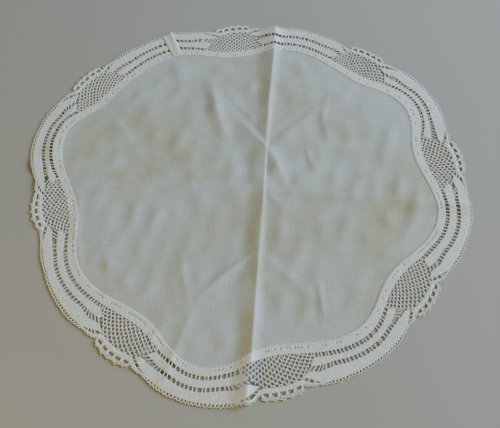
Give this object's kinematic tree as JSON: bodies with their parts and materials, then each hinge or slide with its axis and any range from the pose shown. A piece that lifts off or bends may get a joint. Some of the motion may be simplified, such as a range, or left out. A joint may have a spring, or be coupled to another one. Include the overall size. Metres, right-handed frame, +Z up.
{
  "type": "lace doily",
  "caption": "Round linen table doily with a wide scalloped bobbin-lace border, lying flat with its pressed storage folds.",
  "frame": {"origin": "on the supporting surface, under the middle of the doily's plan box", "axes": "+Z up from the surface; +Y towards the back, where the tallest end of the main fold is; +X to the right"},
  "size_m": [0.5044, 0.5042, 0.0081],
  "materials": {
    "linen": "plain-woven off-white linen, matt",
    "lace": "white linen-thread bobbin lace, matt"
  },
  "bodies": {
    "root": {"linen_centre": "linen", "lace_border": "lace"}
  },
  "joints": []
}
